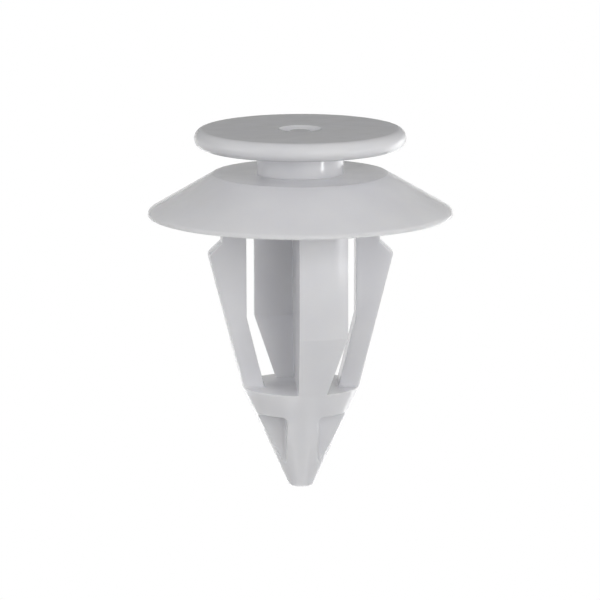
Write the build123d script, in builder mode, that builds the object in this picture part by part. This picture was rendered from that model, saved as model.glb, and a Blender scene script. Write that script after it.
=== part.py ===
from build123d import *
import math
import os

# Door trim clip, moulded in one piece from natural nylon.
# The clip stands on the flat face of its head: the origin is the middle of that face and
# +Z runs along the stem to the point. The two spring legs lie on the X axis and the
# open sides of the stem face -Y and +Y. Lengths are in millimetres, angles in degrees.

# Head, the button that slides into the keyhole of the trim panel; its edge is a full round
head_diameter = 14.86
head_thickness = 1.28

# Sunk seat of the moulding gate in the middle of the head, with the sheared stub
gate_seat_diameter = 3.0
gate_seat_depth = 0.5
gate_stub_diameter = 1.4
gate_stub_height = 0.35

# Neck, with the gap that the trim panel fills
neck_diameter = 6.12
panel_gap = 1.87

# Flange and skirt, the thin umbrella that seals against the door
flange_diameter = 12.3
flange_thickness = 0.95
skirt_diameter = 21.4
skirt_angle = 30.4
skirt_wall = 0.66
skirt_lip_radius = 0.33
skirt_lip_land = 0.02

# Spring legs, which squeeze in as the clip is pushed through the hole of the door
root_diameter = 11.24
root_length = 4.75
shoulder_diameter = 13.06
shoulder_rise = 0.9
shoulder_edge_radius = 0.2
leg_length = 9.45
leg_width = 2.2
leg_inner_span = 7.68
leg_inner_straight = 4.45
leg_inner_foot_span = 5.2
leg_foot_radius = 0.2

# Guide walls and the web between them, the stiff core of the stem
guide_diameter = 11.1
guide_straight = 5.25
guide_reach = 3.08
guide_foot_reach = 1.64
guide_inner_offset = 4.1
guide_web_thickness = 0.7

# Solid point: a round band, then a cross of two ribs and two wings
foot_diameter = 8.25
foot_drop = 0.05
band_height = 1.75
rib_width = 2.14
pocket_corner_radius = 0.4
pocket_root_radius = 0.3
tip_diameter = 1.62
tip_edge_radius = 0.3
tip_length = 7.25

# Heights above the face of the head
flange_top = head_thickness + panel_gap
flange_back = flange_top + flange_thickness
shoulder_foot = flange_top + root_length
shoulder_top = shoulder_foot + shoulder_rise
floor_height = shoulder_top + leg_length
foot_height = floor_height + foot_drop
band_end = floor_height + band_height
tip_end = floor_height + tip_length

# The stem starts at this height, inside the flange, and cutting shapes reach this far
stem_start = flange_top + flange_thickness / 2
clear = skirt_diameter

# The outside of a leg leans in at one slope from the shoulder to the foot
leg_slope = (shoulder_diameter - foot_diameter) / 2 / (foot_height - shoulder_top)
floor_radius = shoulder_diameter / 2 - leg_slope * leg_length
leg_inner_knee = shoulder_top + leg_inner_straight

# The guide walls are upright to their knee and lean in from there to the floor
guide_knee = shoulder_top + guide_straight
guide_lean = guide_diameter / 2 - floor_radius
guide_foot_offset = guide_inner_offset - guide_lean

# Outlines seen from the front, each corner as (distance from the axis, height, rounding)
leg_envelope = [
    (0, stem_start, 0),
    (root_diameter / 2, stem_start, 0),
    (root_diameter / 2, shoulder_foot, 0),
    (shoulder_diameter / 2, shoulder_top, shoulder_edge_radius),
    (foot_diameter / 2, foot_height, 0),
    (tip_diameter / 2, tip_end, tip_edge_radius),
    (0, tip_end, 0),
]
leg_window = [
    (leg_inner_span / 2, stem_start, 0),
    (leg_inner_span / 2, leg_inner_knee, 0),
    (leg_inner_foot_span / 2, floor_height, leg_foot_radius),
    (-leg_inner_foot_span / 2, floor_height, leg_foot_radius),
    (-leg_inner_span / 2, leg_inner_knee, 0),
    (-leg_inner_span / 2, stem_start, 0),
]
pocket = [
    (rib_width / 2, band_end, pocket_corner_radius),
    (clear, band_end, 0),
    (clear, tip_end, 0),
    (rib_width / 2, tip_end, 0),
]
guide_envelope = [
    (0, stem_start),
    (guide_diameter / 2, stem_start),
    (guide_diameter / 2, guide_knee),
    (floor_radius, floor_height),
    (0, floor_height),
]
guide_front = [
    (guide_reach, stem_start),
    (guide_reach, guide_knee),
    (guide_foot_reach, floor_height),
    (-guide_foot_reach, floor_height),
    (-guide_reach, guide_knee),
    (-guide_reach, stem_start),
]
guide_side = [
    (guide_inner_offset, stem_start),
    (guide_inner_offset, guide_knee),
    (guide_foot_offset, floor_height),
    (clear, floor_height),
    (clear, stem_start),
]


def places(corners):
    """Where the corners of an outline are."""
    return [(across, up) for across, up, rounding in corners]


def roundings(corners):
    """How far each corner of an outline is rounded."""
    return [rounding for across, up, rounding in corners]


# Four pockets that leave the point as a cross, two on each open side, with rounded roots
with BuildPart() as pockets:
    for side in (1, -1):
        pocket_plane = Plane(
            origin=(0, side * leg_width / 2, 0), x_dir=(-side, 0, 0), z_dir=(0, side, 0)
        )
        with BuildSketch(pocket_plane):
            with BuildLine():
                FilletPolyline(places(pocket), radius=roundings(pocket), close=True)
            make_face()
            mirror(about=Plane.YZ)
        extrude(amount=clear)
    floors = pockets.faces().filter_by_position(Axis.Y, -leg_width, leg_width)
    fillet(floors.edges(), radius=pocket_root_radius)

# Legs and point: a slab with the window cut out of it and a solid block below the window,
# turned down together to the outside of the clip, with the pockets taken out of the point
with BuildPart() as stem:
    with BuildSketch(Plane.XZ.offset(-leg_width / 2)):
        with Locations((0, (stem_start + tip_end) / 2)):
            Rectangle(shoulder_diameter, tip_end - stem_start)
        with BuildLine():
            FilletPolyline(places(leg_window), radius=roundings(leg_window), close=True)
        make_face(mode=Mode.SUBTRACT)
    extrude(amount=leg_width)
    with BuildSketch(Plane.XY.offset(floor_height)):
        Circle(shoulder_diameter / 2)
    extrude(amount=tip_length)
    with BuildSketch(Plane.XZ):
        with BuildLine():
            FilletPolyline(places(leg_envelope), radius=roundings(leg_envelope), close=True)
        make_face()
    revolve(axis=Axis.Z, mode=Mode.INTERSECT)
    add(pockets.part, mode=Mode.SUBTRACT)

# Core: two guide walls, each reaching from the web to its own side, so that the section
# is a letter Z and both halves of the mould can open along Y
with BuildPart() as core:
    for side in (1, -1):
        wall_plane = Plane(
            origin=(-side * guide_web_thickness / 2, 0, 0), x_dir=(0, side, 0), z_dir=(side, 0, 0)
        )
        with BuildSketch(wall_plane):
            with BuildLine():
                Polyline(guide_side, close=True)
            make_face()
        extrude(amount=guide_reach + guide_web_thickness / 2)
    with BuildSketch(Plane.XY.offset(stem_start)):
        Rectangle(guide_web_thickness, guide_diameter)
    extrude(amount=floor_height - stem_start)
    with BuildSketch(Plane.XZ.offset(-clear)):
        with BuildLine():
            Polyline(guide_front, close=True)
        make_face()
    extrude(amount=2 * clear, mode=Mode.INTERSECT)
    with BuildSketch(Plane.XZ):
        with BuildLine():
            Polyline(guide_envelope, close=True)
        make_face()
    revolve(axis=Axis.Z, mode=Mode.INTERSECT)

# Section of the skirt: the outer line drops from the edge of the flange and rounds over
# into a short upright land, the lip is flat and parallel to the head, and the inner line
# runs beside the outer one, one wall further in, back to the underside of the flange
drop = math.radians(skirt_angle)
wall_rise = skirt_wall / math.cos(drop)
lip_corner_z = flange_top + (skirt_diameter - flange_diameter) / 2 * math.tan(drop)
lip_round_z = lip_corner_z + skirt_lip_radius * math.tan((math.pi / 2 - drop) / 2)
lip_end_z = lip_round_z + skirt_lip_land
lip_inner_x = flange_diameter / 2 + (lip_end_z - wall_rise - flange_top) / math.tan(drop)
skirt_root_x = flange_diameter / 2 + (flange_thickness - wall_rise) / math.tan(drop)
head_edge_x = (head_diameter - head_thickness) / 2

# Head, neck, flange and skirt are one turned section, and the stem grows out of it
with BuildPart() as trim_clip:
    with BuildSketch(Plane.XZ):
        with BuildLine():
            ThreePointArc(
                (head_edge_x, 0),
                (head_diameter / 2, head_thickness / 2),
                (head_edge_x, head_thickness),
            )
            FilletPolyline(
                (head_edge_x, head_thickness),
                (neck_diameter / 2, head_thickness),
                (neck_diameter / 2, flange_top),
                (flange_diameter / 2, flange_top),
                (skirt_diameter / 2, lip_corner_z),
                (skirt_diameter / 2, lip_end_z),
                (lip_inner_x, lip_end_z),
                (skirt_root_x, flange_back),
                (0, flange_back),
                (0, gate_seat_depth - gate_stub_height),
                (gate_stub_diameter / 2, gate_seat_depth - gate_stub_height),
                (gate_stub_diameter / 2, gate_seat_depth),
                (gate_seat_diameter / 2, gate_seat_depth),
                (gate_seat_diameter / 2, 0),
                (head_edge_x, 0),
                radius=[0, 0, 0, skirt_lip_radius, 0, 0, 0, 0, 0, 0, 0, 0, 0],
            )
        make_face()
    revolve(axis=Axis.Z)
    add(stem.part)
    add(core.part)

trim_clip.part.label = "trim_clip"

os.makedirs("parts", exist_ok=True)
export_step(trim_clip.part, "parts/trim_clip.step")
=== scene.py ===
"""Looks of the door trim clip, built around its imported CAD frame.

The clip is one moulding of natural nylon and stands on its head in the middle of a pale
floor. The photograph shows it the other way up, so the camera looks up from just under
the floor plane and is rolled by half a turn. Lengths are in metres unless a name ends in
_mm, and angles are in degrees.
"""

from __future__ import annotations

import logging
from dataclasses import dataclass, field
from enum import Enum, IntEnum

import bpy
import numpy as np
from mathutils import Matrix

log = logging.getLogger("trim_clip_scene")

NODE_NAME = "trim_clip"
MM = 0.001

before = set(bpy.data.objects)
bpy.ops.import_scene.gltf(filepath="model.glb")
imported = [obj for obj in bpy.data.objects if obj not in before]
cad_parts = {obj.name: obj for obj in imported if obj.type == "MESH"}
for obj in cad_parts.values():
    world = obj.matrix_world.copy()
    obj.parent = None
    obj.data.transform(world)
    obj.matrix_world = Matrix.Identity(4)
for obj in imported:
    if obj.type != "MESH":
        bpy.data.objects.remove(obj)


class RayKind(Enum):
    """Rays for which the backdrop shows its white instead of its lighting level."""

    CAMERA = "Is Camera Ray"
    GLOSSY = "Is Glossy Ray"
    TRANSMISSION = "Is Transmission Ray"


class ColourMix(IntEnum):
    """Socket numbers of the Mix node in its colour mode, where names stand for several."""

    FACTOR = 0
    FIRST = 6
    SECOND = 7
    RESULT = 2


def linear_colour(code: str) -> tuple[float, float, float, float]:
    """Turn an sRGB hex code into the linear colour that a shader socket wants.

    Args:
        code: Six hex digits, with or without a leading #.

    Returns:
        Red, green, blue and alpha, each from 0 to 1, in linear light.
    """
    digits = code.lstrip("#")
    srgb = np.array([int(digits[i : i + 2], 16) for i in (0, 2, 4)]) / 255
    low, high = srgb / 12.92, ((srgb + 0.055) / 1.055) ** 2.4
    red, green, blue = np.where(srgb <= 0.04045, low, high)
    return float(red), float(green), float(blue), 1.0


def add_node(
    tree: bpy.types.NodeTree,
    kind: str,
    settings: dict[str, object] | None = None,
    values: dict[str, object] | None = None,
    links: dict[str, bpy.types.NodeSocket] | None = None,
) -> bpy.types.Node:
    """Add one node to a tree, set it up and link its inputs.

    Args:
        tree: The node tree that gets the node.
        kind: The node's type name, such as ShaderNodeBump.
        settings: Properties of the node itself, by name.
        values: Default values of its input sockets, by socket name or index.
        links: Sockets that feed its inputs, by socket name or index.

    Returns:
        The new node.
    """
    node = tree.nodes.new(kind)
    for name, value in (settings or {}).items():
        setattr(node, name, value)
    for key, value in (values or {}).items():
        node.inputs[key].default_value = value
    for key, socket in (links or {}).items():
        tree.links.new(socket, node.inputs[key])
    return node


def backdrop_rays(tree: bpy.types.NodeTree) -> bpy.types.NodeSocket:
    """Tell the rays that see the backdrop from the rays that light the clip.

    Args:
        tree: The node tree that gets the nodes.

    Returns:
        A socket that is 1 for the kinds of RayKind and 0 for all other rays.
    """
    path = add_node(tree, "ShaderNodeLightPath")
    seen = path.outputs[RayKind.CAMERA.value]
    for kind in (RayKind.GLOSSY, RayKind.TRANSMISSION):
        seen = add_node(
            tree,
            "ShaderNodeMath",
            settings={"operation": "MAXIMUM"},
            links={0: seen, 1: path.outputs[kind.value]},
        ).outputs[0]
    return seen


def unit(vector: np.ndarray) -> np.ndarray:
    """Return the vector at length one."""
    return vector / np.linalg.norm(vector)


def direction(azimuth: float, elevation: float) -> np.ndarray:
    """Direction from the clip, as the photograph's viewer would give it.

    Args:
        azimuth: Degrees round from the clip's front, positive to the viewer's right.
        elevation: Degrees above the horizon of the photograph, where the head is up.

    Returns:
        A unit vector in the clip's frame: the viewer's right is -X, the front is -Y, and
        up in the photograph is -Z, because the clip stands on its head here.
    """
    turn, rise = np.radians(azimuth), np.radians(elevation)
    level = np.cos(rise)
    return np.array([-np.sin(turn) * level, -np.cos(turn) * level, -np.sin(rise)])


def looking(place: np.ndarray, target: np.ndarray, up: np.ndarray) -> Matrix:
    """Pose of a camera or lamp that stands at one point and looks at another.

    Args:
        place: Where it stands.
        target: What its -Z axis points at.
        up: The way that its +Y axis leans.

    Returns:
        Its world matrix, whose columns are right, up, backwards and the place.
    """
    back = unit(place - target)
    right = unit(np.cross(up, back))
    pose = np.eye(4)
    pose[:3, :4] = np.column_stack([right, np.cross(back, right), back, place])
    return Matrix(pose.tolist())


@dataclass(frozen=True)
class NaturalNylon:
    """Natural PA66, injection moulded in a polished steel tool.

    Undyed nylon is milky: light enters, scatters within about a millimetre and comes out
    again, so shaded sides stay pale and thin lips glow. The skin copies the tool, which
    leaves an even satin gloss, small sharp glints and hair-wide rounded edges. As the melt
    cools it leaves soft clouds in the tone and the gloss, and shallow waves that bend the
    glints a little.
    """

    name: str = "natural_nylon_moulded"
    colour: str = "#F0F0F1"
    cloud_colour: str = "#E6E6EA"
    ior: float = 1.53
    roughness: float = 0.20
    roughness_change: float = 0.05
    scatter_depth_mm: float = 0.6
    scatter_tint: tuple[float, float, float] = (1.0, 0.98, 0.96)
    edge_round_mm: float = 0.09
    edge_samples: int = 8
    cloud_width_mm: float = 3.0
    wave_width_mm: float = 1.8
    wave_depth_mm: float = 0.03
    noise_detail: float = 1.0
    noise_fade: float = 0.4

    def soft_noise(self, tree: bpy.types.NodeTree, width_mm: float) -> bpy.types.NodeSocket:
        """Add a smooth noise that follows the clip.

        Args:
            tree: The node tree that gets the nodes.
            width_mm: Typical width of one cloud or wave.

        Returns:
            A socket that runs softly about 0.5, within 0 and 1.
        """
        place = add_node(tree, "ShaderNodeTexCoord").outputs["Object"]
        return add_node(
            tree,
            "ShaderNodeTexNoise",
            values={
                "Scale": 1 / (width_mm * MM),
                "Detail": self.noise_detail,
                "Roughness": self.noise_fade,
            },
            links={"Vector": place},
        ).outputs["Fac"]

    def material(self) -> bpy.types.Material:
        """Build the material.

        Returns:
            A material with soft clouds in colour and roughness, and shallow waves over
            normals that turn a hair's width round every edge.
        """
        made = bpy.data.materials.new(self.name)
        made.use_nodes = True
        tree = made.node_tree
        tree.nodes.clear()
        clouds = self.soft_noise(tree, self.cloud_width_mm)
        tone = add_node(
            tree,
            "ShaderNodeMix",
            settings={"data_type": "RGBA"},
            values={
                ColourMix.FIRST: linear_colour(self.colour),
                ColourMix.SECOND: linear_colour(self.cloud_colour),
            },
            links={ColourMix.FACTOR: clouds},
        ).outputs[ColourMix.RESULT]
        gloss = add_node(
            tree,
            "ShaderNodeMapRange",
            settings={"clamp": False},
            values={
                "To Min": self.roughness - self.roughness_change,
                "To Max": self.roughness + self.roughness_change,
            },
            links={"Value": clouds},
        ).outputs["Result"]
        rounded = add_node(
            tree,
            "ShaderNodeBevel",
            settings={"samples": self.edge_samples},
            values={"Radius": self.edge_round_mm * MM},
        ).outputs["Normal"]
        waves = add_node(
            tree,
            "ShaderNodeBump",
            values={"Strength": 1.0, "Distance": self.wave_depth_mm * MM},
            links={"Height": self.soft_noise(tree, self.wave_width_mm), "Normal": rounded},
        ).outputs["Normal"]
        shader = add_node(
            tree,
            "ShaderNodeBsdfPrincipled",
            values={
                "IOR": self.ior,
                "Subsurface Weight": 1.0,
                "Subsurface Radius": self.scatter_tint,
                "Subsurface Scale": self.scatter_depth_mm * MM,
            },
            links={"Base Color": tone, "Roughness": gloss, "Normal": waves},
        ).outputs["BSDF"]
        add_node(tree, "ShaderNodeOutputMaterial", links={"Surface": shader})
        return made


@dataclass(frozen=True)
class PaleFloor:
    """Matt white laminate of a bench top, seen from above only.

    From below it lets rays through, so that the photograph's view, which comes from just
    under the floor plane, shows nothing but the backdrop behind the clip.
    """

    name: str = "bench_top_matt_white"
    colour: str = "#F2F2F0"
    roughness: float = 0.7
    side: float = 0.6
    gap: float = 0.00002

    def material(self) -> bpy.types.Material:
        """Build the one-sided material of the floor."""
        made = bpy.data.materials.new(self.name)
        made.use_nodes = True
        tree = made.node_tree
        tree.nodes.clear()
        below = add_node(tree, "ShaderNodeNewGeometry").outputs["Backfacing"]
        matt = add_node(
            tree,
            "ShaderNodeBsdfPrincipled",
            values={"Base Color": linear_colour(self.colour), "Roughness": self.roughness},
        ).outputs["BSDF"]
        clear = add_node(tree, "ShaderNodeBsdfTransparent").outputs["BSDF"]
        either = add_node(tree, "ShaderNodeMixShader", links={0: below, 1: matt, 2: clear})
        add_node(tree, "ShaderNodeOutputMaterial", links={"Surface": either.outputs[0]})
        return made

    def build(self) -> bpy.types.Object:
        """Lay the floor: a square of side, flat at a hair below the head's face.

        Returns:
            The floor.
        """
        across, along = np.meshgrid([-0.5, 0.5], [-0.5, 0.5])
        corners = np.column_stack(
            [across.ravel() * self.side, along.ravel() * self.side, np.full(4, -self.gap)]
        )
        mesh = bpy.data.meshes.new("floor")
        mesh.from_pydata(corners.tolist(), [], [(0, 1, 3, 2)])
        mesh.materials.append(self.material())
        floor = bpy.data.objects.new("floor", mesh)
        bpy.context.scene.collection.objects.link(floor)
        floor.visible_shadow = False
        floor.visible_diffuse = False
        return floor


@dataclass(frozen=True)
class SoftBox:
    """A rectangular studio lamp with a diffuser, placed as the viewer sees the clip.

    A spread under 180 degrees stands for the honeycomb grid in front of a small lamp,
    which lets its light out in a narrow cone only.
    """

    name: str
    azimuth: float
    elevation: float
    width: float
    height: float
    watts: float
    distance: float = 0.35
    aim_mm: tuple[float, float, float] = (0.0, 0.0, 12.5)
    spread: float = 180.0

    def build(self) -> bpy.types.Object:
        """Hang the lamp, unseen by the camera, and turn it to its aim.

        Returns:
            The lamp.
        """
        lamp = bpy.data.lights.new(self.name, "AREA")
        lamp.shape = "RECTANGLE"
        lamp.size, lamp.size_y = self.width, self.height
        lamp.energy = self.watts
        lamp.spread = np.radians(self.spread)
        hung = bpy.data.objects.new(self.name, lamp)
        bpy.context.scene.collection.objects.link(hung)
        hung.visible_camera = False
        aim = np.array(self.aim_mm) * MM
        place = aim + direction(self.azimuth, self.elevation) * self.distance
        hung.matrix_world = looking(place, aim, np.array([0.0, 0.0, -1.0]))
        return hung


@dataclass
class Studio:
    """White surroundings and the lamps of a packshot table."""

    ambient: float = 0.03
    backdrop: float = 1.0
    white: str = "#FFFFFF"
    floor: PaleFloor = field(default_factory=PaleFloor)
    # Azimuth, elevation, width, height, watts and, where it isn't the usual, distance.
    lamps: tuple[SoftBox, ...] = (
        SoftBox("lamp_front", 25, 15, 0.24, 0.24, 0.42),
        SoftBox("lamp_front_wide", 10, 15, 0.60, 0.20, 0.19, 0.40),
        SoftBox("lamp_right", 60, 10, 0.40, 0.20, 0.32, 0.40),
        SoftBox("lamp_left", -70, 10, 0.40, 0.20, 0.58, 0.40),
        SoftBox("lamp_high_left", -25, 40, 0.24, 0.24, 0.11),
        SoftBox("lamp_high_right", 90, 65, 0.24, 0.24, 0.15),
        SoftBox("lamp_back_left", -100, 40, 0.24, 0.24, 0.16),
        SoftBox("lamp_back_right", 130, -10, 0.24, 0.24, 0.33),
        SoftBox("lamp_behind", 180, -35, 0.24, 0.24, 0.20),
        SoftBox("lamp_over_bench", 0, -88, 0.50, 0.50, 1.60, 0.60),
        SoftBox(
            "lamp_glint", 58, -9.2, 0.008, 0.010, 4.3e-5, 0.09, aim_mm=(-1.4, -2.7, 2.2), spread=14.0
        ),
    )

    def surround(self) -> None:
        """Set up the world: white to look at, but only ambient light on the clip."""
        world = bpy.data.worlds.new("white_surroundings")
        bpy.context.scene.world = world
        world.use_nodes = True
        tree = world.node_tree
        tree.nodes.clear()
        level = add_node(
            tree,
            "ShaderNodeMapRange",
            values={"To Min": self.ambient, "To Max": self.backdrop},
            links={"Value": backdrop_rays(tree)},
        ).outputs["Result"]
        glow = add_node(
            tree,
            "ShaderNodeBackground",
            values={"Color": linear_colour(self.white)},
            links={"Strength": level},
        )
        add_node(tree, "ShaderNodeOutputWorld", links={"Surface": glow.outputs[0]})

    def build(self) -> None:
        """Set up the world, lay the floor and hang the lamps."""
        self.surround()
        self.floor.build()
        for lamp in self.lamps:
            lamp.build()
        log.info("studio: %d lamps", len(self.lamps))


@dataclass(frozen=True)
class PhotoCamera:
    """The photograph's camera: a long lens that looks down on the head of the clip."""

    azimuth: float = -3.0
    elevation: float = 10.7
    distance: float = 0.35
    aim_mm: tuple[float, float, float] = (0.0, 0.0, 12.2)
    sensor_mm: float = 36.0
    lens_mm: float = 298.6
    roll: float = -0.13
    shift_x: float = -0.0008
    nearest: float = 0.01
    farthest: float = 10.0

    def build(self) -> bpy.types.Object:
        """Make the camera and give it to the scene.

        Returns:
            The camera.
        """
        data = bpy.data.cameras.new("photo_camera")
        data.sensor_width, data.lens = self.sensor_mm, self.lens_mm
        data.shift_x = self.shift_x
        data.clip_start, data.clip_end = self.nearest, self.farthest
        camera = bpy.data.objects.new("photo_camera", data)
        bpy.context.scene.collection.objects.link(camera)
        aim = np.array(self.aim_mm) * MM
        place = aim + direction(self.azimuth, self.elevation) * self.distance
        level = looking(place, aim, np.array([0.0, 0.0, -1.0]))
        camera.matrix_world = level @ Matrix.Rotation(np.radians(self.roll), 4, "Z")
        bpy.context.scene.camera = camera
        return camera


@dataclass(frozen=True)
class TrimClip:
    """The clip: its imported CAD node, dressed in natural nylon."""

    finish: NaturalNylon = field(default_factory=NaturalNylon)

    def dress(self) -> bpy.types.Object:
        """Give the CAD node its finish.

        Returns:
            The node's object, whose place and mesh stay as they are.
        """
        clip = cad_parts[NODE_NAME]
        clip.data.materials.clear()
        clip.data.materials.append(self.finish.material())
        log.info("piece %s: %d faces", clip.name, len(clip.data.polygons))
        return clip


def main() -> None:
    """Build the clip's looks, the studio and the camera."""
    logging.basicConfig(level=logging.INFO, format="%(name)s: %(message)s")
    bpy.context.scene.view_settings.view_transform = "Standard"
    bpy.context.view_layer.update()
    TrimClip().dress()
    Studio().build()
    PhotoCamera().build()


if __name__ == "__main__":
    main()
